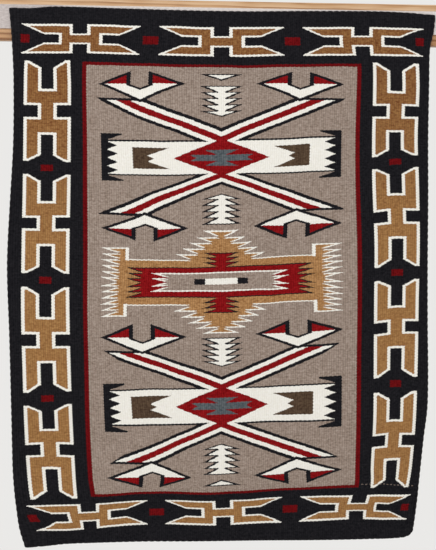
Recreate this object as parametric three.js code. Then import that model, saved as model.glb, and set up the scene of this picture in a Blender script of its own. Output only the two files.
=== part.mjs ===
// A handwoven tapestry rug that hangs from a wooden rail on a wall.
// Millimetres, +Z up. The patterned side faces -Y.
// The origin is the middle of the rail's back face, where it meets the wall.
import * as THREE from 'three';

// Rail: a planed softwood board that runs past both sides of the rug
const RAIL_LENGTH = 1100;
const RAIL_HEIGHT = 89;
const RAIL_DEPTH = 19;
const RAIL_EASING = 1.5;

// Hook tape on the rail's front, whose hooks grip the wool
const TAPE_LENGTH = 1084;
const TAPE_HEIGHT = 50.8;
const TAPE_THICKNESS = 2.2;
const TAPE_MIDDLE_Z = 4;
const TAPE_EASING = 0.5;

// Rug: one sheet of thick weft-faced wool cloth
const RUG_THICKNESS = 4;
const RUG_HALF_WIDTH = 465;
const RUG_TOP_Z = 22;
const RUG_BOTTOM_Z = -1160;

// Air between two pieces that touch
const CLEARANCE = 0.3;

// Cells of the rug's surface, and the rounding of its rim
const COLUMNS = 32;
const ROWS = 26;
const RIM_ROUNDING = 1.2;
const RIM_ROW = 11;

// The edge cords of the two ends bind the cloth in small even bumps
const BUMPS = 64;
const STEPS_PER_BUMP = 4;
const BUMP_DEPTH = 1.7;

// Slight ripples that grow from the held top edge to the free bottom edge
const RIPPLE_DEPTH = 1.6;
const RIPPLE_COUNT = 3.4;

// Sections of the hanging cloth from its top edge down. z is the section's
// height, left and right are its two edges, and leftOut, middleOut and
// rightOut are how far the cloth bows out from the plane it is pressed on.
const SECTIONS = [
  { z: 22, left: -465, right: 464, leftOut: 0, middleOut: 0, rightOut: 0 },
  { z: -20, left: -462, right: 461, leftOut: 0, middleOut: 0, rightOut: 0 },
  { z: -60, left: -460, right: 453, leftOut: 0.5, middleOut: 0, rightOut: 0.8 },
  { z: -130, left: -458, right: 452, leftOut: 1.8, middleOut: 0.4, rightOut: 2.4 },
  { z: -270, left: -461, right: 451.5, leftOut: 4.2, middleOut: 1, rightOut: 4.8 },
  { z: -410, left: -471, right: 454.5, leftOut: 5, middleOut: 2.4, rightOut: 4 },
  { z: -540, left: -479.5, right: 456.5, leftOut: 3, middleOut: 3.6, rightOut: 2.4 },
  { z: -680, left: -478, right: 459, leftOut: 1.4, middleOut: 3, rightOut: 3 },
  { z: -850, left: -476.5, right: 462, leftOut: 3.6, middleOut: 1.4, rightOut: 5.2 },
  { z: -930, left: -476, right: 454.5, leftOut: 5, middleOut: 1.2, rightOut: 4.8 },
  { z: -1000, left: -475, right: 449, leftOut: 5.6, middleOut: 1.8, rightOut: 3.4 },
  { z: -1060, left: -470, right: 444, leftOut: 5, middleOut: 2.8, rightOut: 1.4 },
  { z: -1120, left: -463.5, right: 439, leftOut: 3, middleOut: 3.8, rightOut: -0.8 },
  { z: -1160, left: -452, right: 435, leftOut: 1.4, middleOut: 4.2, rightOut: -2.4 },
];

// Heights of the top and bottom edges along the rug. The bottom left corner
// hangs in a point, and the bottom right corner is rounded.
const ENDS = [
  { across: -465, top: 21, bottom: -1166 },
  { across: -430, top: 20.8, bottom: -1162 },
  { across: -375, top: 25, bottom: -1158 },
  { across: -230, top: 23.5, bottom: -1157 },
  { across: -80, top: 21.6, bottom: -1159 },
  { across: 60, top: 21.8, bottom: -1160.5 },
  { across: 190, top: 24.6, bottom: -1161.5 },
  { across: 350, top: 26.2, bottom: -1163 },
  { across: 425, top: 24, bottom: -1161 },
  { across: 452, top: 21.6, bottom: -1157.5 },
  { across: 465, top: 20.4, bottom: -1148 },
];

// Smooth value of one column of a table at a place along another column.
// Each row's slope is that of the line between its two neighbours.
function valueAt(table, placeColumn, place, valueColumn) {
  const ascending = table[0][placeColumn] < table[table.length - 1][placeColumn];
  const rows = ascending ? table : [...table].reverse();
  let low = 0;
  while (low < rows.length - 2 && rows[low + 1][placeColumn] <= place) {
    low += 1;
  }
  const slopeAt = (index) => {
    const before = rows[Math.max(index - 1, 0)];
    const after = rows[Math.min(index + 1, rows.length - 1)];
    return (after[valueColumn] - before[valueColumn]) / (after[placeColumn] - before[placeColumn]);
  };
  const start = rows[low];
  const end = rows[low + 1];
  const span = end[placeColumn] - start[placeColumn];
  const t = Math.min(Math.max((place - start[placeColumn]) / span, 0), 1);
  const t2 = t * t;
  const t3 = t2 * t;
  return (2 * t3 - 3 * t2 + 1) * start[valueColumn] + (t3 - 2 * t2 + t) * span * slopeAt(low)
    + (3 * t2 - 2 * t3) * end[valueColumn] + (t3 - t2) * span * slopeAt(low + 1);
}

// Place of the cloth's middle layer. u runs from -1 at the left edge to 1 at
// the right, and v from 0 at the top edge to 1 at the bottom.
function clothPoint(u, v) {
  const station = RUG_TOP_Z + (RUG_BOTTOM_Z - RUG_TOP_Z) * v;
  const section = (column) => valueAt(SECTIONS, 'z', station, column);
  const end = (column) => valueAt(ENDS, 'across', u * RUG_HALF_WIDTH, column);
  const left = section('left');
  const right = section('right');
  const bow = section('middleOut') * (1 - u * u)
    + section('leftOut') * 0.5 * u * (u - 1)
    + section('rightOut') * 0.5 * u * (u + 1);
  const ripple = RIPPLE_DEPTH * v * v * (1 - Math.cos(Math.PI * RIPPLE_COUNT * (u + 1))) / 2;
  return {
    x: left + (right - left) * (u + 1) / 2,
    z: end('top') + (end('bottom') - end('top')) * v,
    out: bow + ripple,
  };
}

// Height of an edge cord's bump above the hollows beside it
function bumpHeight(u) {
  const place = (u + 1) / 2 * BUMPS;
  return BUMP_DEPTH * Math.sqrt(Math.abs(Math.sin(Math.PI * place)));
}

// Rug: a front and a back surface of wide cells, joined by a rounded rim.
// The first and last rows have short steps that follow the edge bumps.
function rugGeometry() {
  const fineColumns = BUMPS * STEPS_PER_BUMP;
  const finePerColumn = fineColumns / COLUMNS;
  const backPlane = -(RAIL_DEPTH + TAPE_THICKNESS + 2 * CLEARANCE);
  const middlePlane = backPlane - RUG_THICKNESS / 2;
  const positions = [];
  const triangles = [];

  const rowPlaces = [0];
  const rimShare = RIM_ROW / (RUG_TOP_Z - RUG_BOTTOM_Z);
  for (let row = 0; row <= ROWS; row += 1) {
    rowPlaces.push(rimShare + (1 - 2 * rimShare) * row / ROWS);
  }
  rowPlaces.push(1);
  const lastRow = rowPlaces.length - 1;
  const isEnd = (row) => row === 0 || row === lastRow;
  const columnsOf = (row) => (isEnd(row) ? fineColumns : COLUMNS);

  // side is 1 for the front layer, 0 for the rim's middle and -1 for the back
  function addPoint(row, column, side) {
    const u = -1 + 2 * column / columnsOf(row);
    const point = clothPoint(u, rowPlaces[row]);
    const inset = side === 0 ? 0 : RIM_ROUNDING;
    if (row === 0) {
      point.z += bumpHeight(u) - BUMP_DEPTH / 2 - inset;
    }
    if (row === lastRow) {
      point.z -= bumpHeight(u) - BUMP_DEPTH / 2 - inset;
    }
    if (column === 0) {
      point.x += inset;
    }
    if (column === columnsOf(row)) {
      point.x -= inset;
    }
    positions.push(point.x, middlePlane - point.out - side * RUG_THICKNESS / 2, point.z);
    return positions.length / 3 - 1;
  }

  function addLayer(side) {
    const rows = rowPlaces.map((place, row) => {
      const points = [];
      for (let column = 0; column <= columnsOf(row); column += 1) {
        points.push(addPoint(row, column, side));
      }
      return points;
    });
    const addTriangle = (a, b, c) => {
      triangles.push(...(side > 0 ? [a, b, c] : [a, c, b]));
    };
    for (let row = 1; row < lastRow - 1; row += 1) {
      for (let column = 0; column < COLUMNS; column += 1) {
        const topLeft = rows[row][column];
        const topRight = rows[row][column + 1];
        const lowLeft = rows[row + 1][column];
        const lowRight = rows[row + 1][column + 1];
        addTriangle(topLeft, lowLeft, lowRight);
        addTriangle(topLeft, lowRight, topRight);
      }
    }
    addFan(rows[0], rows[1], (a, b, c) => addTriangle(a, c, b));
    addFan(rows[lastRow], rows[lastRow - 1], addTriangle);
    return rows;
  }

  // Joins a row of short steps to the row of wide cells beside it
  function addFan(fineRow, wideRow, addTriangle) {
    for (let column = 0; column < COLUMNS; column += 1) {
      const first = column * finePerColumn;
      const middle = first + finePerColumn / 2;
      for (let step = 0; step < finePerColumn; step += 1) {
        const near = first + step < middle ? wideRow[column] : wideRow[column + 1];
        addTriangle(fineRow[first + step], fineRow[first + step + 1], near);
      }
      addTriangle(fineRow[middle], wideRow[column + 1], wideRow[column]);
    }
  }

  // Points of a layer's rim: along the top, down the right side, back along
  // the bottom and up the left side
  function rimOf(rows) {
    const inner = rows.slice(1, lastRow);
    return [
      ...rows[0],
      ...inner.map((row) => row[COLUMNS]),
      ...[...rows[lastRow]].reverse(),
      ...[...inner].reverse().map((row) => row[0]),
    ];
  }

  function rimMiddle() {
    const rows = rowPlaces.map((place, row) => {
      const points = [];
      for (let column = 0; column <= columnsOf(row); column += 1) {
        const onRim = isEnd(row) || column === 0 || column === COLUMNS;
        points.push(onRim ? addPoint(row, column, 0) : null);
      }
      return points;
    });
    return rimOf(rows);
  }

  const front = rimOf(addLayer(1));
  const back = rimOf(addLayer(-1));
  const middle = rimMiddle();
  for (const [near, far] of [[front, middle], [middle, back]]) {
    for (let index = 0; index < near.length; index += 1) {
      const next = (index + 1) % near.length;
      triangles.push(near[index], near[next], far[next]);
      triangles.push(near[index], far[next], far[index]);
    }
  }

  const geometry = new THREE.BufferGeometry();
  geometry.setAttribute('position', new THREE.Float32BufferAttribute(positions, 3));
  geometry.setIndex(triangles);
  geometry.computeVertexNormals();
  return geometry;
}

// A long strip along X with eased long edges, centred on its section
function stripGeometry(length, height, depth, easing) {
  const halfHeight = height / 2;
  const halfDepth = depth / 2;
  const section = new THREE.Shape();
  section.moveTo(-halfDepth, -halfHeight + easing);
  section.lineTo(-halfDepth + easing, -halfHeight);
  section.lineTo(halfDepth - easing, -halfHeight);
  section.lineTo(halfDepth, -halfHeight + easing);
  section.lineTo(halfDepth, halfHeight - easing);
  section.lineTo(halfDepth - easing, halfHeight);
  section.lineTo(-halfDepth + easing, halfHeight);
  section.lineTo(-halfDepth, halfHeight - easing);
  section.closePath();
  const geometry = new THREE.ExtrudeGeometry(section, { depth: length, bevelEnabled: false });
  geometry.translate(0, 0, -length / 2);
  geometry.rotateX(Math.PI / 2);
  geometry.rotateZ(Math.PI / 2);
  return geometry;
}

function makeMesh(name, geometry, color, roughness) {
  const material = new THREE.MeshStandardMaterial({ color, roughness, metalness: 0 });
  const mesh = new THREE.Mesh(geometry, material);
  mesh.name = name;
  return mesh;
}

const rail = makeMesh(
  'rail',
  stripGeometry(RAIL_LENGTH, RAIL_HEIGHT, RAIL_DEPTH, RAIL_EASING),
  0xbe986d,
  0.55,
);
rail.position.set(0, -RAIL_DEPTH / 2, 0);

const hookTape = makeMesh(
  'hook_tape',
  stripGeometry(TAPE_LENGTH, TAPE_HEIGHT, TAPE_THICKNESS, TAPE_EASING),
  0xc4b9b6,
  0.8,
);
hookTape.position.set(0, -RAIL_DEPTH - CLEARANCE - TAPE_THICKNESS / 2, TAPE_MIDDLE_Z);

const rug = makeMesh('rug', rugGeometry(), 0x3a3634, 0.95);

const assembly = new THREE.Group();
assembly.add(rail, hookTape, rug);

export default assembly;
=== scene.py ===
"""A handwoven tapestry rug that hangs from a hook tape on a pine wall rail.

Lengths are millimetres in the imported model's frame, and become metres where a mesh is
made. The rug's pattern is drawn on a chart: across in warps from the pattern's middle,
and height in millimetres from it. Shader nodes work the chart out for every point.
"""
import math

import bpy
import numpy as np
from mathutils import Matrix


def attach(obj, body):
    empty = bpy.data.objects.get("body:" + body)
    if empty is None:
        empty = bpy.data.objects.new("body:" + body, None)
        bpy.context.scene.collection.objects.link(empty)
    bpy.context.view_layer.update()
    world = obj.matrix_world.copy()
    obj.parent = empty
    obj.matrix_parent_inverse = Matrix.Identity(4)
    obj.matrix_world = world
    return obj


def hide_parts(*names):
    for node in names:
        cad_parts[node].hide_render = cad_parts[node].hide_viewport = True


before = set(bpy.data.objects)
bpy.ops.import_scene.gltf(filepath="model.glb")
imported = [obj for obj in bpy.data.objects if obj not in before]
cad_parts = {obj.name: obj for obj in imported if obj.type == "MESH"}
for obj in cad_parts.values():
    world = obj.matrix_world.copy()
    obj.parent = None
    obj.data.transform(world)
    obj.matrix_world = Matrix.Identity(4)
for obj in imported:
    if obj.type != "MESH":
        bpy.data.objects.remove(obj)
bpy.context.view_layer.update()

MM = 0.001

# Rail and hook tape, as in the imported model
RAIL_DEPTH = 19.0
TAPE_THICKNESS = 2.2
CLEARANCE = 0.3

# Cloth
RUG_THICKNESS = 4.0
RUG_TOP_Z = 22.0
RUG_BOTTOM_Z = -1160.0
RUG_HALF_WIDTH = 465.0
RIPPLE_DEPTH = 1.6
RIPPLE_COUNT = 3.4
BUMPS = 64
BUMP_DEPTH = 1.7

# Weave: ribs over the warps, and the beads that the wefts make on each rib
HALF_WARPS = 96
WARP_PITCH = RUG_HALF_WIDTH / HALF_WARPS
RIB_DEPTH = 0.9
RIB_STEPS = 4
PICK_HEIGHT = 0.55
CLOTH_ROWS = 54
CHART_HALF_HEIGHT = 600.0

# Sections of the hanging cloth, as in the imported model: height, left and right
# edge, and how far the cloth bows out at the left, the middle and the right.
# The edges here and in ENDS began as points read by eye in the photograph, which
# a separate script turned into millimetres.
SECTIONS = np.array([
    (22, -465, 464, 0, 0, 0),
    (-20, -462, 461, 0, 0, 0),
    (-60, -460, 453, 0.5, 0, 0.8),
    (-130, -458, 452, 1.8, 0.4, 2.4),
    (-270, -461, 451.5, 4.2, 1, 4.8),
    (-410, -471, 454.5, 5, 2.4, 4),
    (-540, -479.5, 456.5, 3, 3.6, 2.4),
    (-680, -478, 459, 1.4, 3, 3),
    (-850, -476.5, 462, 3.6, 1.4, 5.2),
    (-930, -476, 454.5, 5, 1.2, 4.8),
    (-1000, -475, 449, 5.6, 1.8, 3.4),
    (-1060, -470, 444, 5, 2.8, 1.4),
    (-1120, -463.5, 439, 3, 3.8, -0.8),
    (-1160, -452, 435, 1.4, 4.2, -2.4),
])
SECTION_Z, SECTION_LEFT, SECTION_RIGHT, LEFT_OUT, MIDDLE_OUT, RIGHT_OUT = SECTIONS.T

# Heights of the top and bottom edges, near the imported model's
ENDS = np.array([
    (-465, 21, -1166),
    (-430, 20.8, -1162),
    (-375, 25, -1158),
    (-230, 23.5, -1157),
    (-80, 21.6, -1159),
    (60, 21.8, -1161.5),
    (190, 24.6, -1164),
    (350, 26.2, -1167),
    (425, 24, -1166.5),
    (452, 21.6, -1163),
    (465, 20.4, -1152),
])
END_ACROSS, END_TOP, END_BOTTOM = ENDS.T

# How the weaver's warps ran: chart height, then the places in the cloth of the
# warps that WARPS_ACROSS numbers. Most of these numbers were measured in the
# photograph with a separate script and rounded, and some were then moved by hand.
WARPS_ACROSS = (-90.5, -69, -63, -35, 0, 35, 63, 69, 90.5)
WARP_LINES = np.array([
    (531, -427, -335, -309, -178, -10, 160, 292, 321, 425),
    (480, -434, -337, -311, -184, -10, 163, 299, 325, 428),
    (433, -436, -336, -312, -187, -10, 162, 299, 326, 430),
    (310, -439, -338, -312, -182, -10, 162, 297, 325, 427),
    (200, -442, -340, -313, -178, -10, 158, 299, 327, 432),
    (68, -447, -344, -314, -178, -10, 153, 305, 334, 437),
    (-65, -451, -346, -316, -185, -10, 159, 307, 335, 437),
    (-190, -450, -345, -315, -183, -9, 162, 307, 336, 437),
    (-318, -448, -342, -314, -174, -10, 162, 308, 337, 435),
    (-440, -443, -337, -309, -164, -10, 160, 307, 333, 428),
    (-480, -438, -334, -303, -170, -9, 163, 306, 334, 422),
    (-531, -428, -329, -302, -171, -6, 161, 294, 323, 409),
    (-564, -405, -323, -300, -170, -6, 160, 293, 321, 409),
])

# How the weaver's rows ran: chart height, then the heights in the cloth at the
# warps that WEFTS_ACROSS numbers, measured, rounded and moved in the same way
WEFTS_ACROSS = (-79.5, -62, -35, 0, 35, 62, 79.5)
WEFT_LINES = np.array([
    (564, -11, -11, -12, -12, -10, -8, -8),
    (499, -73, -72, -73, -75, -71, -69, -69),
    (480, -93, -92, -93, -95, -91, -88, -89),
    (430, -143, -141, -139, -137, -135, -138, -141),
    (373, -197, -196, -202, -194, -195, -192, -191),
    (312, -259, -260, -260, -259, -252, -247, -247),
    (250, -317, -319, -323, -320, -315, -308, -300),
    (190, -376, -376, -376, -374, -370, -364, -356),
    (124, -438, -440, -447, -441, -436, -430, -423),
    (111, -450, -452, -457, -459, -450, -442, -435),
    (60, -503, -505, -508, -509, -500, -495, -488),
    (0, -562, -565, -569, -567, -562, -557, -549),
    (-60, -628, -629, -630, -632, -624, -618, -610),
    (-124, -695, -696, -698, -694, -688, -680, -671),
    (-190, -763, -763, -762, -759, -755, -747, -737),
    (-250, -828, -824, -820, -821, -815, -810, -804),
    (-312, -883, -886, -889, -887, -885, -881, -874),
    (-373, -941, -943, -947, -947, -944, -939, -933),
    (-430, -991, -1003, -1006, -1009, -1003, -994, -987),
    (-480, -1050, -1050, -1047, -1051, -1045, -1042, -1040),
    (-499, -1067, -1066, -1062, -1067, -1061, -1063, -1065),
    (-564, -1127, -1124, -1117, -1123, -1120, -1117, -1122),
])

# Edge cords: two plies that twist about each other, one bump to each half turn
PLY_RADIUS = 1.15
PLY_ORBIT = 1.0
PLY_SIDES = 8
CORD_INSET = 1.6
CORD_FORWARD = 0.5
CORD_TURN = 4 * RUG_HALF_WIDTH / BUMPS


def between(t, span, start, end, start_slope, end_slope):
    """Smooth curve from one point to the next, t from 0 to 1, with a slope given at each."""
    return (
        (2 * t**3 - 3 * t**2 + 1) * start
        + (t**3 - 2 * t**2 + t) * span * start_slope
        + (3 * t**2 - 2 * t**3) * end
        + (t**3 - t**2) * span * end_slope
    )


def smooth_value(places, values, at):
    """Smooth curve through a table's points, each with the slope between its neighbours."""
    places, values = np.asarray(places, float), np.asarray(values, float)
    if places[0] > places[-1]:
        places, values = places[::-1], values[::-1]
    before = np.maximum(np.arange(len(places)) - 1, 0)
    after = np.minimum(np.arange(len(places)) + 1, len(places) - 1)
    slopes = (values[after] - values[before]) / (places[after] - places[before])
    at = np.clip(at, places[0], places[-1])
    low = np.clip(np.searchsorted(places, at, side="right") - 1, 0, len(places) - 2)
    span = places[low + 1] - places[low]
    t = (at - places[low]) / span
    return between(t, span, values[low], values[low + 1], slopes[low], slopes[low + 1])


def smooth_across(places, values, at):
    """smooth_value where the table differs from point to point: values[k] belongs to places[k]."""
    places = np.asarray(places, float)
    count = len(places)
    slopes = []
    for k in range(count):
        before, after = max(k - 1, 0), min(k + 1, count - 1)
        slopes.append((values[after] - values[before]) / (places[after] - places[before]))
    result = np.zeros_like(at)
    for k in range(count - 1):
        span = places[k + 1] - places[k]
        t = (at - places[k]) / span
        here = (at >= places[k]) & ((at < places[k + 1]) | (k == count - 2))
        curve = between(t, span, values[k], values[k + 1], slopes[k], slopes[k + 1])
        result = np.where(here, curve, result)
    return result


def cloth_point(warp, height):
    """Place of the cloth's middle layer at a chart point: x, z and how far it bows out."""
    warp, height = np.broadcast_arrays(np.asarray(warp, float), np.asarray(height, float))
    u = warp / HALF_WARPS
    v = (CHART_HALF_HEIGHT - height) / (2 * CHART_HALF_HEIGHT)
    station = RUG_TOP_Z + (RUG_BOTTOM_Z - RUG_TOP_Z) * v
    warp_places = (-HALF_WARPS, *WARPS_ACROSS, HALF_WARPS)
    lines = [smooth_value(SECTION_Z, SECTION_LEFT, station)]
    for column in range(len(WARPS_ACROSS)):
        lines.append(smooth_value(WARP_LINES[:, 0], WARP_LINES[:, column + 1], height))
    lines.append(smooth_value(SECTION_Z, SECTION_RIGHT, station))
    x = smooth_across(warp_places, lines, warp)

    across = u * RUG_HALF_WIDTH
    rows = [(CHART_HALF_HEIGHT, smooth_value(END_ACROSS, END_TOP, across))]
    for line in WEFT_LINES:
        rows.append((line[0], smooth_value(WEFTS_ACROSS, line[1:], warp)))
    rows.append((-CHART_HALF_HEIGHT, smooth_value(END_ACROSS, END_BOTTOM, across)))
    rows.reverse()
    z = smooth_across([row[0] for row in rows], [row[1] for row in rows], height)

    bow = (
        smooth_value(SECTION_Z, MIDDLE_OUT, station) * (1 - u * u)
        + smooth_value(SECTION_Z, LEFT_OUT, station) * 0.5 * u * (u - 1)
        + smooth_value(SECTION_Z, RIGHT_OUT, station) * 0.5 * u * (u + 1)
    )
    ripple = RIPPLE_DEPTH * v * v * (1 - np.cos(np.pi * RIPPLE_COUNT * (u + 1))) / 2
    return x, z, bow + ripple


def bump_height(u):
    """Height of an edge cord's bump above the hollows beside it, u from -1 to 1 across the rug."""
    return BUMP_DEPTH * np.sqrt(np.abs(np.sin(np.pi * (u + 1) / 2 * BUMPS)))


def new_object(name, points, faces, smooth=True):
    """A mesh object from points in millimetres."""
    mesh = bpy.data.meshes.new(name)
    mesh.from_pydata([tuple(point) for point in np.asarray(points) * MM], [], faces)
    mesh.polygons.foreach_set("use_smooth", [smooth] * len(mesh.polygons))
    mesh.update()
    piece = bpy.data.objects.new(name, mesh)
    bpy.context.scene.collection.objects.link(piece)
    return piece


# Rug


def rug_mesh():
    """The cloth as a closed sheet: ribbed front and back, and a rounded rim all round."""
    columns = 2 * HALF_WARPS * RIB_STEPS
    warps = np.linspace(-HALF_WARPS, HALF_WARPS, columns + 1)
    rim_height = 3.0
    heights = np.concatenate((
        [CHART_HALF_HEIGHT],
        np.linspace(CHART_HALF_HEIGHT - rim_height, rim_height - CHART_HALF_HEIGHT, CLOTH_ROWS),
        [-CHART_HALF_HEIGHT],
    ))
    warp_grid, height_grid = np.meshgrid(warps, heights)
    x, z, out = cloth_point(warp_grid, height_grid)
    bumps = bump_height(warps / HALF_WARPS) - BUMP_DEPTH / 2
    z[0] += bumps
    z[-1] -= bumps
    rib = RIB_DEPTH * np.sqrt(np.abs(np.sin(np.pi * warp_grid)))
    middle_plane = -(RAIL_DEPTH + TAPE_THICKNESS + 2 * CLEARANCE) - RUG_THICKNESS / 2
    half = RUG_THICKNESS / 2 - RIB_DEPTH + rib

    rim_steps = 4
    inset = RUG_THICKNESS / 2
    inward_x = np.zeros_like(x)
    inward_z = np.zeros_like(z)
    inward_x[:, 0], inward_x[:, -1] = 1, -1
    inward_z[0], inward_z[-1] = -1, 1

    rows, cols = x.shape
    points = []
    for side in (1, -1):
        px = x + inset * inward_x
        pz = z + inset * inward_z
        py = middle_plane - out - side * half
        points.append(np.stack((px, py, pz), -1).reshape(-1, 3))

    ring = [(0, c) for c in range(cols)]
    ring += [(r, cols - 1) for r in range(1, rows)]
    ring += [(rows - 1, c) for c in range(cols - 2, -1, -1)]
    ring += [(r, 0) for r in range(rows - 2, 0, -1)]
    ring_rows = np.array([r for r, c in ring])
    ring_cols = np.array([c for r, c in ring])
    rings = [ring_rows * cols + ring_cols]
    offset = 2 * rows * cols
    for step in range(1, rim_steps):
        angle = math.pi * step / rim_steps
        reach = inset * (1 - math.sin(angle))
        level = math.cos(angle)
        rx = x[ring_rows, ring_cols] + reach * inward_x[ring_rows, ring_cols]
        rz = z[ring_rows, ring_cols] + reach * inward_z[ring_rows, ring_cols]
        ry = middle_plane - out[ring_rows, ring_cols] - level * half[ring_rows, ring_cols]
        points.append(np.stack((rx, ry, rz), -1))
        rings.append(offset + np.arange(len(ring)))
        offset += len(ring)
    rings.append(rows * cols + ring_rows * cols + ring_cols)

    corner = (np.arange(rows - 1)[:, None] * cols + np.arange(cols - 1)[None]).ravel()
    front = np.stack((corner, corner + cols, corner + cols + 1, corner + 1), -1)
    back = front[:, ::-1] + rows * cols
    faces = [front, back]
    for near, far in zip(rings[:-1], rings[1:]):
        faces.append(np.stack((near, np.roll(near, -1), np.roll(far, -1), far), -1))
    rug = new_object("rug_cloth", np.concatenate(points), np.concatenate(faces).tolist())
    add_rug_maps(rug, warp_grid, height_grid, rings, len(front))
    return rug


def add_rug_maps(rug, warp_grid, height_grid, rings, face_count):
    """Chart holds each point's chart place in metres. OFBake has front and back side by side."""
    mesh = rug.data
    layer_size = warp_grid.size
    chart = np.zeros((len(mesh.vertices), 2))
    flat = np.stack((warp_grid.ravel() * WARP_PITCH, height_grid.ravel()), -1) * MM
    chart[:layer_size] = flat
    chart[layer_size:2 * layer_size] = flat
    for ring in rings[1:-1]:
        chart[ring] = flat[rings[0]]

    edge = 0.012
    rim_width = 0.0025
    across = warp_grid.ravel() / HALF_WARPS
    along = height_grid.ravel() / CHART_HALF_HEIGHT
    front_map = np.stack((0.25 + (0.25 - edge) * across, 0.5 + (0.5 - edge) * along), -1)
    back_map = front_map + (0.5, 0)
    centres = np.array((0.25, 0.5))
    rim_ring = len(rings) // 2

    corners = np.empty(len(mesh.loops), int)
    mesh.loops.foreach_get("vertex_index", corners)
    chart_layer = mesh.uv_layers.new(name="Chart")
    chart_layer.data.foreach_set("uv", chart[corners].ravel())
    chart_layer.active_render = True

    bake = np.zeros((len(corners), 2))
    on_front = corners < layer_size
    on_back = (corners >= layer_size) & (corners < 2 * layer_size)
    bake[on_front] = front_map[corners[on_front]]
    bake[on_back] = back_map[corners[on_back] - layer_size]
    ring_length = len(rings[0])
    base = 2 * face_count * 4
    for strip in range(len(rings) - 1):
        start = base + strip * ring_length * 4
        own_map = front_map if strip < rim_ring else back_map
        centre = centres if strip < rim_ring else centres + (0.5, 0)
        levels = (strip, strip, strip + 1, strip + 1)
        if strip >= rim_ring:
            levels = [len(rings) - 1 - level for level in levels]
        index = np.arange(ring_length)
        for place, (level, turn) in enumerate(zip(levels, (0, 1, 1, 0))):
            source = rings[0][(index + turn) % ring_length]
            spot = own_map[source]
            offset = spot - centre
            at_edge = np.abs(offset) > (0.25 - edge - 1e-6, 0.5 - edge - 1e-6)
            away = np.sign(offset) * at_edge
            bake[start + index * 4 + place] = spot + away * rim_width * level
    mesh.uv_layers.new(name="OFBake").data.foreach_set("uv", bake.ravel())


# Edge cords


def twisted_cord(name, path):
    """Two plies of yarn that twist about a path of points in millimetres."""
    steps = np.gradient(path, axis=0)
    lengths = np.linalg.norm(steps, axis=1)
    along = np.concatenate(([0], np.cumsum(np.linalg.norm(np.diff(path, axis=0), axis=1))))
    ahead = steps / lengths[:, None]
    forward = np.array((0.0, -1.0, 0.0))
    aside = np.cross(ahead, forward)
    aside /= np.linalg.norm(aside, axis=1)[:, None]
    over = np.cross(aside, ahead)
    points, faces, marks = [], [], []
    for ply in range(2):
        turn = 2 * np.pi * along / CORD_TURN + ply * np.pi
        centre = path + PLY_ORBIT * (np.cos(turn)[:, None] * over + np.sin(turn)[:, None] * aside)
        start = len(points)
        for row in range(len(path)):
            for side in range(PLY_SIDES):
                angle = 2 * np.pi * side / PLY_SIDES + turn[row]
                spoke = math.cos(angle) * over[row] + math.sin(angle) * aside[row]
                points.append(centre[row] + PLY_RADIUS * spoke)
                marks.append((side / PLY_SIDES, along[row] * MM))
        for row in range(len(path) - 1):
            near = start + row * PLY_SIDES
            far = near + PLY_SIDES
            for side in range(PLY_SIDES):
                ahead_side = (side + 1) % PLY_SIDES
                faces.append((near + side, near + ahead_side, far + ahead_side, far + side))
        faces.append(tuple(range(start + PLY_SIDES - 1, start - 1, -1)))
        last = start + (len(path) - 1) * PLY_SIDES
        faces.append(tuple(range(last, last + PLY_SIDES)))
    cord = new_object(name, points, faces)
    mesh = cord.data
    corners = np.empty(len(mesh.loops), int)
    mesh.loops.foreach_get("vertex_index", corners)
    mesh.uv_layers.new(name="Ply").data.foreach_set("uv", np.array(marks)[corners].ravel())
    return cord


def edge_cords():
    """A twisted cord along each of the rug's four edges."""
    cords = []
    turn_points, turns_across, turns_along = 14, 32, 40
    across = np.linspace(-HALF_WARPS + 0.3, HALF_WARPS - 0.3, turns_across * turn_points)
    along = np.linspace(CHART_HALF_HEIGHT - 2, 2 - CHART_HALF_HEIGHT, turns_along * turn_points)
    centre = -(RAIL_DEPTH + TAPE_THICKNESS + 2 * CLEARANCE) - RUG_THICKNESS / 2 - CORD_FORWARD
    for name, warp, height, inset_x, inset_z in (
        ("cord_top", across, CHART_HALF_HEIGHT, 0, -CORD_INSET),
        ("cord_bottom", across, -CHART_HALF_HEIGHT, 0, CORD_INSET),
        ("cord_left", -HALF_WARPS, along, CORD_INSET, 0),
        ("cord_right", HALF_WARPS, along, -CORD_INSET, 0),
    ):
        x, z, out = cloth_point(warp, height)
        cords.append(twisted_cord(name, np.stack((x + inset_x, centre - out, z + inset_z), -1)))
    return cords


# Chart of the rug's pattern, as fields of shader nodes


class Field:
    """A number at every point of a surface, worked out by math nodes."""

    tree = None

    def __init__(self, socket):
        self.socket = socket

    @staticmethod
    def node(operation, *inputs):
        node = Field.tree.nodes.new("ShaderNodeMath")
        node.operation = operation
        for slot, value in zip(node.inputs, inputs):
            if isinstance(value, Field):
                Field.tree.links.new(value.socket, slot)
            else:
                slot.default_value = value
        return Field(node.outputs[0])

    def __add__(self, other):
        return Field.node("ADD", self, other)

    def __radd__(self, other):
        return Field.node("ADD", other, self)

    def __sub__(self, other):
        return Field.node("SUBTRACT", self, other)

    def __rsub__(self, other):
        return Field.node("SUBTRACT", other, self)

    def __mul__(self, other):
        return Field.node("MULTIPLY", self, other)

    def __rmul__(self, other):
        return Field.node("MULTIPLY", other, self)

    def __truediv__(self, other):
        return Field.node("DIVIDE", self, other)

    def __neg__(self):
        return Field.node("MULTIPLY", self, -1.0)

    def __abs__(self):
        return Field.node("ABSOLUTE", self)


def floor(a):
    return Field.node("FLOOR", a)


def fraction(a):
    return Field.node("FRACT", a)


def at_least(value, low):
    return Field.node("MAXIMUM", value, low)


def clamped(value, low, high):
    return Field.node("MINIMUM", at_least(value, low), high)


def both(first, *others):
    """Inside all of several shapes: a shape's field is above zero inside it."""
    for other in others:
        first = Field.node("MINIMUM", first, other)
    return first


def either(first, *others):
    """Inside any of several shapes."""
    for other in others:
        first = Field.node("MAXIMUM", first, other)
    return first


def outside(shape):
    return -shape


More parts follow.
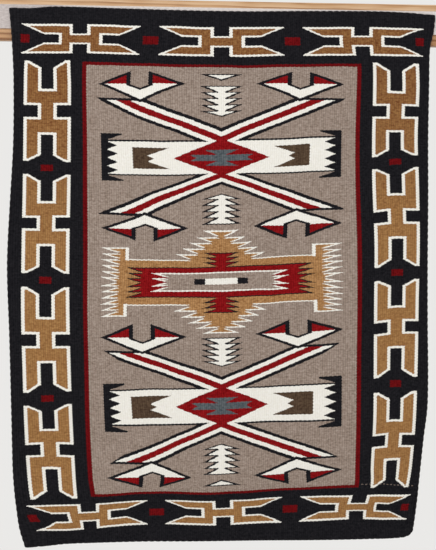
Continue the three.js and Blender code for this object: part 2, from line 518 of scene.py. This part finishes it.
def inside(shape):
    """1 inside the shape and 0 outside."""
    return Field.node("GREATER_THAN", shape, 0.0)


def dye(yarns, number, shape):
    """Changes the yarn to another inside the shape."""
    return Field.node("MULTIPLY_ADD", inside(shape), number - yarns, yarns)


YARN_COUNT = 9
BLACK, GREY, RED, WHITE, TAN, BROWN, SLATE, DEEP_RED, CAMEL = range(YARN_COUNT)


def border_figures(yarns, a, v, v_size):
    """Waisted figures with two pairs of prongs, along the sides and across both ends."""
    field_edge, field_end = 64, 484

    # Sides: b is in warps from the figure's long middle line, s runs along it
    side_middle, side_pitch, side_half = 79.75, 249.0, 110.0
    b = abs(a - side_middle)
    s = abs(fraction(v / side_pitch) - 0.5) * side_pitch
    prong_end = side_half - at_least(8.5 - b, 0.0) * (WARP_PITCH * 0.54)
    beside = both(a - field_edge, field_end - v_size)
    figure = both(
        beside,
        10.75 - b,
        prong_end - s,
        outside(both(2.75 - b, s - 50)),
        outside(both(b - 4.25, 12.8 - s)),
    )
    heart = both(
        beside,
        9.25 - b,
        prong_end - 5.5 - s,
        outside(both(4.25 - b, s - 45)),
        outside(both(b - 2.75, 17.8 - s)),
    )
    yarns = dye(yarns, WHITE, figure)
    yarns = dye(yarns, TAN, heart)
    yarns = dye(yarns, DEEP_RED, both(beside, 2.6 - b, s - 117.2, 300 - v_size))

    # Ends: t is the height from the row's middle line, c runs along from a figure's middle
    end_middle, end_half, figure_half, corner_figure = 531.0, 32.5, 136.0, 64.4
    t = abs(v_size - end_middle)
    c = Field.node("MINIMUM", a, abs(a - corner_figure)) * WARP_PITCH
    slant = at_least((c - 87) * 0.44, 0.0)
    beyond = v_size - field_end
    figure = both(
        beyond,
        end_half - t,
        figure_half - c,
        outside(both(c - 50.5, slant + 9.4 - t)),
        outside(both(17 - c, t - 12.3)),
    )
    heart = both(
        beyond,
        end_half - 4.2 - t,
        outside(both(c - 43.6, slant + 13 - t)),
        outside(both(24.3 - c, t - 8.6)),
        figure_half - c,
    )
    yarns = dye(yarns, WHITE, figure)
    yarns = dye(yarns, TAN, heart)
    squares = either(3.5 - abs(a - 32.2), 1.9 - abs(a - 91.3))
    return dye(yarns, DEEP_RED, both(beyond, squares, 9.2 - t))


def pathway(yarns, warp, height):
    """A single pale weft that leads from the grey field to the edge, over every other warp."""
    course = -456.5 - warp * 0.27
    dots = 0.5 - fraction(warp * 0.5)
    return dye(yarns, GREY, both(0.6 - abs(height - course), warp - 60, 94 - warp, dots))


def crossed_bars(yarns, x, height, gy):
    """Two crossed striped bars, and the panel, combs and diamond between them.

    gy is the distance above or below their middle. The lower pair of bars is a little shorter,
    and its combs and blocks are a little larger.
    """
    lower = inside(-height)
    comb_end, comb_half = 263, 53 + lower
    yarns = dye(yarns, BLACK, both(39.2 - gy, comb_end - x))

    # Bars
    bar_half, white_half, red_half = 23.2, 15.7, 6.5
    bar_reach, bar_top, stripe_top = 272 - 12 * lower, 128.2, 123.4
    rise_size = abs(gy - (0.4 * x + 40))
    tip = gy - 128 + (bar_reach - x) * 0.62
    yarns = dye(yarns, BLACK, both(bar_top - gy, bar_half - rise_size, tip))
    yarns = dye(yarns, WHITE, both(stripe_top - gy, white_half - rise_size))
    yarns = dye(yarns, RED, both(stripe_top - gy, red_half - rise_size))

    # White panel, and a comb with hooks at each end of it
    teeth = abs(Field.node("MODULO", gy / 9, 2.0) - 1) * 24 + 227
    yarns = dye(yarns, WHITE, both(35.8 - gy, teeth - x))
    yarns = dye(yarns, BLACK, both(comb_half - gy, comb_end - x, x - 254))
    hook = both(comb_half - gy, gy - 38.6, comb_end - x, x - 216, x - 250 + (gy - 39.5) * 3.2)
    yarns = dye(yarns, BLACK, hook)

    # Notched blocks, and the diamond with its cross
    notched = Field.node("MINIMUM", gy * 2.3 + 147, 179 - gy * 2.85)
    yarns = dye(yarns, BROWN, both(23 - gy, 193 + 11 * lower - x, x - notched))
    yarns = dye(yarns, RED, 42 - 0.402 * x - gy)

    long_rows = both(7.0 - gy, 55 + gy * 2 - x)
    short_rows = both(18 - gy, 9 + (gy - 7) * 2.55 - x)
    return dye(yarns, SLATE, either(long_rows, short_rows))


def arrowheads(yarns, x, gy):
    """Notched arrowheads with red wings that stand on the bars."""
    middle_x, middle_y, half_width = 171, 157.5, 96
    ax = abs(x - middle_x)
    ay = gy - middle_y
    reach = half_width - ax
    top = reach * 0.378 - ay
    bottom = reach * 0.385 + ay
    slot = both(19.5 - ax, gy - 148.5 - 0.35 * ax)
    wide_slot = both(29.2 - ax, gy - 144 - 0.35 * ax)
    shape = both(top, bottom, outside(slot))
    heart = both(top - 6, bottom - 6, outside(wide_slot))
    yarns = dye(yarns, BLACK, shape)
    yarns = dye(yarns, WHITE, heart)
    return dye(yarns, RED, both(heart, ay))


def feathers(yarns, x, gy, outward):
    """Five stacked triangles above and below the crossed bars, and one more at the frame line."""
    stack_top, tier_height = 152, 13.3
    tier = (stack_top - gy) / tier_height
    step = fraction(tier)
    half = 46 - step * (31.0 + 14 * inside(tier - 4))
    stack = both(tier, 5 - tier)
    tooth = both(step * tier_height - 2.0, half - 9.0 - x)
    spine = both(6.3 - x, 4.2 - tier, tier - 0.2)
    yarns = dye(yarns, BLACK, both(stack, half - x))
    yarns = dye(yarns, WHITE, both(stack, either(tooth, spine)))
    lone = (outward - 163.5) * 2.6 - x
    yarns = dye(yarns, BLACK, both(lone, 181.5 - outward))
    return dye(yarns, WHITE, both(lone - 11, 178.7 - outward))


def saw_edge(h, top, pitch, reach, depth, last):
    """Distance of a saw-toothed end from the middle: even teeth, and a hollow below last."""
    teeth = fraction((top - h) / pitch) * -depth + reach
    hollow = reach - (last - h) * (depth * 0.9 / last)
    below = inside(last - h)
    return Field.node("MULTIPLY_ADD", below, hollow - teeth, teeth)


def medallion_ground(h, x):
    """Five stepped tiers, the long bar and the saw-toothed columns at its ends."""
    tier = (113.5 - h) / 12.7
    steps = both(tier, 5 - tier, 41 + floor(tier) * 15.4 - fraction(tier) * 36 - x)
    bar = both(50.5 - h, 212 - x)
    column_end = saw_edge(h, 74.5, 12.9, 267, 43, 9.8)
    column = both(74.5 - h, x - 206, column_end - x)
    return either(steps, bar, column)


def red_bar(h, x):
    """A saw-ended bar with a toothed block above and below its middle."""
    bar = both(33.5 - h, saw_edge(h, 33.5, 11.6, 211, 37, 10.3) - x)
    block = both(66 - h, h - 33.4, 43 - fraction((66 - h) / 10.85) * 33 - x)
    return either(bar, block)


def grey_bar(h, x):
    """The saw-ended bar inside the red one."""
    return both(20.5 - h, saw_edge(h, 20.5, 11.4, 155, 39, 9.1) - x)


def shrunk(shape, h, x, rim):
    """A shape less a rim of its own, taken from it above and below."""
    return both(shape(h, x), shape(h + rim, x), shape(abs(h - rim), x))


def medallion(yarns, x, h):
    """The stepped and saw-toothed figure in the rug's middle."""
    yarns = dye(yarns, WHITE, medallion_ground(h, x))
    side_line = both(213.5 - x, x - 206, h - 47)
    heart = both(shrunk(medallion_ground, h, x, 2.6), outside(side_line))
    yarns = dye(yarns, CAMEL, heart)
    yarns = dye(yarns, BLACK, red_bar(h, x))
    yarns = dye(yarns, RED, shrunk(red_bar, h, x, 2.2))
    yarns = dye(yarns, WHITE, grey_bar(h, x))
    yarns = dye(yarns, GREY, shrunk(grey_bar, h, x, 2.7))
    yarns = dye(yarns, BLACK, both(6.5 - h, 61.5 - x))
    return dye(yarns, WHITE, both(6.5 - h, 37.5 - x))


def yarn_numbers(warp, height):
    """The yarn's number at each bead of the weave."""
    a = abs(warp)
    x = a * WARP_PITCH
    v_size = abs(height)
    bars_middle = 276
    line_across, line_end = 63, 480.5
    field_across, field_end = 61, 473.7
    outward = v_size - bars_middle
    gy = abs(outward)
    yarns = a * 0.0
    yarns = border_figures(yarns, a, height, v_size)
    yarns = pathway(yarns, warp, height)
    yarns = dye(yarns, DEEP_RED, both(line_across - a, line_end - v_size))
    yarns = dye(yarns, GREY, both(field_across - a, field_end - v_size))
    yarns = crossed_bars(yarns, x, height, gy)
    yarns = arrowheads(yarns, x, gy)
    yarns = feathers(yarns, x, gy, outward)
    return medallion(yarns, x, v_size)


# Materials


def srgb(red, green, blue):
    """Linear colour of a screen colour, 0 to 255 each."""
    def linear(value):
        value /= 255
        return value / 12.92 if value <= 0.04045 else ((value + 0.055) / 1.055) ** 2.4

    return (linear(red), linear(green), linear(blue), 1.0)


def new_material(name, roughness, specular):
    """A material, its node tree and its shader. Fields made next belong to it."""
    material = bpy.data.materials.new(name)
    material.use_nodes = True
    shader = material.node_tree.nodes["Principled BSDF"]
    shader.inputs["Roughness"].default_value = roughness
    shader.inputs["Specular IOR Level"].default_value = specular
    Field.tree = material.node_tree
    return material, material.node_tree, shader


def constant_ramp(tree, colours):
    """A ramp of even flat steps, one for each colour."""
    ramp = tree.nodes.new("ShaderNodeValToRGB")
    ramp.color_ramp.interpolation = "CONSTANT"
    for index, colour in enumerate(colours):
        if index < 2:
            stop = ramp.color_ramp.elements[index]
            stop.position = index / len(colours)
        else:
            stop = ramp.color_ramp.elements.new(index / len(colours))
        stop.color = colour
    return ramp


def tone_colour(tree, tone, first, last, middle=None):
    """The colour for a tone from 0 to 1, by way of a middle colour if there is one."""
    ramp = tree.nodes.new("ShaderNodeValToRGB")
    ramp.color_ramp.elements[0].color = first
    ramp.color_ramp.elements[1].color = last
    if middle:
        ramp.color_ramp.elements.new(0.5).color = middle
    tree.links.new(tone.socket, ramp.inputs[0])
    return ramp.outputs[0]


def add_bump(tree, shader, relief, strength, distance):
    """Bumps the shading by a relief field, over a distance in metres."""
    bump = tree.nodes.new("ShaderNodeBump")
    bump.inputs["Strength"].default_value = strength
    bump.inputs["Distance"].default_value = distance
    tree.links.new(relief.socket, bump.inputs["Height"])
    tree.links.new(bump.outputs[0], shader.inputs["Normal"])


def map_place(tree, map_name):
    """The two coordinates of a surface map."""
    chart = tree.nodes.new("ShaderNodeUVMap")
    chart.uv_map = map_name
    split = tree.nodes.new("ShaderNodeSeparateXYZ")
    tree.links.new(chart.outputs[0], split.inputs[0])
    return Field(split.outputs[0]), Field(split.outputs[1])


def object_place(tree):
    """The piece's own x, y and z in metres."""
    place = tree.nodes.new("ShaderNodeTexCoord")
    split = tree.nodes.new("ShaderNodeSeparateXYZ")
    tree.links.new(place.outputs["Object"], split.inputs[0])
    return [Field(output) for output in split.outputs]


def noise(tree, vector, detail=2.0):
    """Noise from 0 to 1 over a vector, with features about one unit wide."""
    texture = tree.nodes.new("ShaderNodeTexNoise")
    texture.inputs["Scale"].default_value = 1.0
    texture.inputs["Detail"].default_value = detail
    tree.links.new(vector, texture.inputs["Vector"])
    return Field(texture.outputs["Fac"])


def vector_of(tree, x, y, z=0.0):
    """A vector of fields or plain numbers."""
    combine = tree.nodes.new("ShaderNodeCombineXYZ")
    for slot, value in zip(combine.inputs, (x, y, z)):
        if isinstance(value, Field):
            tree.links.new(value.socket, slot)
        else:
            slot.default_value = value
    return combine.outputs[0]


# Each yarn in its darker and lighter strands, as screen colours
YARN_COLOURS = (
    ((22, 22, 26), (38, 37, 41)),
    ((143, 126, 114), (181, 164, 153)),
    ((122, 12, 16), (158, 27, 31)),
    ((248, 245, 236), (254, 252, 246)),
    ((129, 83, 49), (170, 126, 79)),
    ((72, 55, 43), (103, 84, 67)),
    ((73, 83, 89), (109, 115, 119)),
    ((96, 11, 15), (124, 20, 24)),
    ((155, 111, 68), (199, 152, 103)),
)


def wool_material():
    """Weft-faced wool: the chart's yarns in beads on ribs, heathered, a little fuzzy, and painted
    shade in the hollows.
    """
    material, tree, shader = new_material("wool_tapestry", 0.92, 0.04)
    chart_x, chart_y = map_place(tree, "Chart")
    across = chart_x * (1 / (WARP_PITCH * MM))
    height = chart_y * 1000.0

    # Beads are half a bead off on every other rib, and joins of colour are finely toothed
    tooth_pitch, tooth_depth = 6.2, 0.16
    wander = noise(tree, vector_of(tree, across * 0.06, height * 0.012), 1.0)
    wavy_height = height + (wander - 0.5) * 5.0
    tooth = abs(fraction(wavy_height * (1 / tooth_pitch)) - 0.5) * (4 * tooth_depth) - tooth_depth
    half_rib = floor((across + tooth) * 2.0)
    rib = floor(across)
    odd = Field.node("FLOORED_MODULO", rib, 2.0)
    pick = wavy_height * (1 / PICK_HEIGHT) + odd
    bead_place = pick * 0.5
    bead = floor(bead_place)
    bead_height = (bead * 2 + 1 - odd) * PICK_HEIGHT
    yarns = yarn_numbers(half_rib * 0.5 + 0.25, bead_height)

    # How light each strand is: 0 takes the yarn's darker colour and 1 its lighter one
    speck = tree.nodes.new("ShaderNodeTexWhiteNoise")
    speck.noise_dimensions = "2D"
    tree.links.new(vector_of(tree, rib, bead), speck.inputs["Vector"])
    streak = noise(tree, vector_of(tree, across * 0.06, height * 0.3), 3.0)
    grain = noise(tree, vector_of(tree, across * 0.75, height * 0.24), 3.0)
    mottle = noise(tree, vector_of(tree, across * 0.3, height * 0.05), 3.0)
    strands = (
        Field(speck.outputs["Value"]) * 0.3
        + (streak - 0.5) * 0.6
        + (grain - 0.5) * 2.6
        + (mottle - 0.5) * 0.8
        + 0.35
    )
    strands = clamped(strands, -0.15, 1.15)
    paler_below = clamped((450 - height) * 0.0016, 0.0, 0.6) - 0.2
    strands = strands + paler_below * inside(0.5 - abs(yarns - TAN))

    number = (yarns + 0.5) * (1 / YARN_COUNT)
    dark = constant_ramp(tree, [srgb(*pair[0]) for pair in YARN_COLOURS])
    light = constant_ramp(tree, [srgb(*pair[1]) for pair in YARN_COLOURS])
    for ramp in (dark, light):
        tree.links.new(number.socket, ramp.inputs[0])
    blend = tree.nodes.new("ShaderNodeMix")
    blend.data_type = "RGBA"
    blend.clamp_factor = False
    tree.links.new(strands.socket, blend.inputs["Factor"])
    tree.links.new(dark.outputs[0], blend.inputs["A"])
    tree.links.new(light.outputs[0], blend.inputs["B"])

    # Painted shade: hollows between ribs and beads are darker, but hardly so in white yarn
    rib_round = Field.node("SINE", fraction(across) * math.pi)
    bead_round = Field.node("SINE", fraction(bead_place) * math.pi)
    painted_shade_depth = 1.0 - 0.8 * inside(0.5 - abs(yarns - WHITE))
    painted_hollow_shade = (rib_round * 0.22 + bead_round * 0.14 - 0.3) * painted_shade_depth + 1.0
    shade = tree.nodes.new("ShaderNodeVectorMath")
    shade.operation = "SCALE"
    tree.links.new(blend.outputs["Result"], shade.inputs[0])
    tree.links.new(painted_hollow_shade.socket, shade.inputs["Scale"])
    tree.links.new(shade.outputs[0], shader.inputs["Base Color"])

    fuzz = noise(tree, vector_of(tree, across * 2.4, height * 1.6), 4.0)
    add_bump(tree, shader, bead_round * 0.5 + fuzz * 0.55, 0.7, 0.0009)
    return material


def pine_material():
    """Planed pine: long grain lines along the rail, fine fibres, a thin varnish and painted shade
    along the lower edge.
    """
    material, tree, shader = new_material("pine", 0.45, 0.35)
    x, y, z = object_place(tree)
    sway = noise(tree, vector_of(tree, x * 2.2, y * 8.0, z * 8.0), 2.0)
    rings = z * 95.0 + y * 60.0 + (sway - 0.5) * 4.5
    late = fraction(rings)
    grain = Field.node("POWER", late, 2.2)
    fibre = noise(tree, vector_of(tree, x * 14.0, y * 900.0, z * 900.0), 3.0)
    stain = noise(tree, vector_of(tree, x * 9.0, y * 30.0, z * 30.0), 2.0)
    # Painted shade: the wood darkens towards the rail's lower edge, where the rug shades it
    lower = clamped(z * -35.0 - 0.35, 0.0, 1.0)
    tone = grain * 0.7 + (fibre - 0.5) * 1.3 + (stain - 0.5) * 0.9 + lower * 0.55 + 0.16
    colour = tone_colour(tree, tone, srgb(216, 182, 145), srgb(138, 92, 54), srgb(192, 148, 105))
    tree.links.new(colour, shader.inputs["Base Color"])
    add_bump(tree, shader, fibre + grain * 0.5, 0.35, 0.0004)
    return material


def tape_material():
    """Light grey woven tape, dotted with rows of tiny hooks."""
    material, tree, shader = new_material("hook_tape_weave", 0.75, 0.3)
    hook_pitch, row_pitch = 1.7, 1.5
    x, _, z = (coordinate * 1000.0 for coordinate in object_place(tree))
    row = floor(z / row_pitch)
    shift = Field.node("FLOORED_MODULO", row, 2.0) * 0.5
    dot_x = Field.node("SINE", fraction(x / hook_pitch + shift) * math.pi)
    dot_z = Field.node("SINE", fraction(z / row_pitch) * math.pi)
    dots = dot_x * dot_z
    cloud = noise(tree, vector_of(tree, x * 0.12, z * 0.4), 4.0)
    lighter = clamped(x * 0.02 + 7.4, 0.0, 1.0)
    tone = dots * 0.35 + (cloud - 0.5) * 0.9 + lighter * 0.45 + 0.24
    colour = tone_colour(tree, tone, srgb(168, 156, 154), srgb(236, 229, 226))
    tree.links.new(colour, shader.inputs["Base Color"])
    add_bump(tree, shader, dots, 0.6, 0.0006)
    return material


def cord_material():
    """Black wool yarn with fine fibres along each ply."""
    material, tree, shader = new_material("wool_cord", 0.9, 0.06)
    round_ply, along = map_place(tree, "Ply")
    fibre = noise(tree, vector_of(tree, round_ply * 9.0 + along * 500.0, along * 260.0), 4.0)
    colour = tone_colour(tree, fibre, srgb(18, 18, 21), srgb(58, 55, 57))
    tree.links.new(colour, shader.inputs["Base Color"])
    add_bump(tree, shader, fibre, 0.7, 0.0005)
    return material


def dress_node(name, material):
    """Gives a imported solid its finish."""
    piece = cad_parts[name]
    piece.data.materials.clear()
    piece.data.materials.append(material)


# Floor, light and camera


def make_floor():
    """A pale floor a little below the rug."""
    half, front, back = 3000.0, -3000.0, 400.0
    level = RUG_BOTTOM_Z - 260.0
    outline = ((-half, front), (half, front), (half, back), (-half, back))
    corners = [(x, y, level) for x, y in outline]
    floor_piece = new_object("floor", corners, [(0, 1, 2, 3)], smooth=False)
    material, _, shader = new_material("floor_paper", 0.9, 0.2)
    shader.inputs["Base Color"].default_value = srgb(236, 234, 231)
    floor_piece.data.materials.append(material)


def make_light(name, place, target, size, power):
    """A soft rectangular light at a place, turned to a target."""
    lamp = bpy.data.lights.new(name, "AREA")
    lamp.shape = "RECTANGLE"
    lamp.size, lamp.size_y = size
    lamp.energy = power
    holder = bpy.data.objects.new(name, lamp)
    place, target = np.array(place), np.array(target)
    holder.location = place
    direction = target - place
    flat = math.hypot(direction[0], direction[1])
    holder.rotation_euler = (
        math.atan2(flat, -direction[2]),
        0,
        math.atan2(direction[1], direction[0]) - math.pi / 2,
    )
    bpy.context.scene.collection.objects.link(holder)


def make_studio():
    """Even pale light all round, and one soft key light from the front left."""
    world = bpy.data.worlds.new("studio")
    world.use_nodes = True
    background = world.node_tree.nodes["Background"]
    background.inputs["Color"].default_value = srgb(234, 233, 231)
    background.inputs["Strength"].default_value = 1.0
    bpy.context.scene.world = world
    make_light("key", (-1.2, -2.6, 1.1), (0, 0, -0.55), (1.6, 1.2), 26)
    bpy.context.scene.view_settings.view_transform = "Standard"


def make_camera():
    """The photograph's camera: a little left of the rug's middle and above it, 1.7 m off."""
    yaw, pitch = math.radians(3.55), math.radians(4.15)
    data = bpy.data.cameras.new("camera")
    data.lens = 50
    data.sensor_width = 36
    camera = bpy.data.objects.new("camera", data)
    camera.location = (-0.1228, -1.7176, -0.4303)
    camera.rotation_euler = (math.pi / 2 - pitch, 0, -yaw)
    bpy.context.scene.collection.objects.link(camera)
    bpy.context.scene.camera = camera


make_camera()
make_studio()
make_floor()

rug = rug_mesh()
rug.data.materials.append(wool_material())
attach(rug, "root")
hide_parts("rug")

cords = edge_cords()
black_wool = cord_material()
for cord in cords:
    cord.data.materials.append(black_wool)
    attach(cord, "root")

dress_node("rail", pine_material())
dress_node("hook_tape", tape_material())
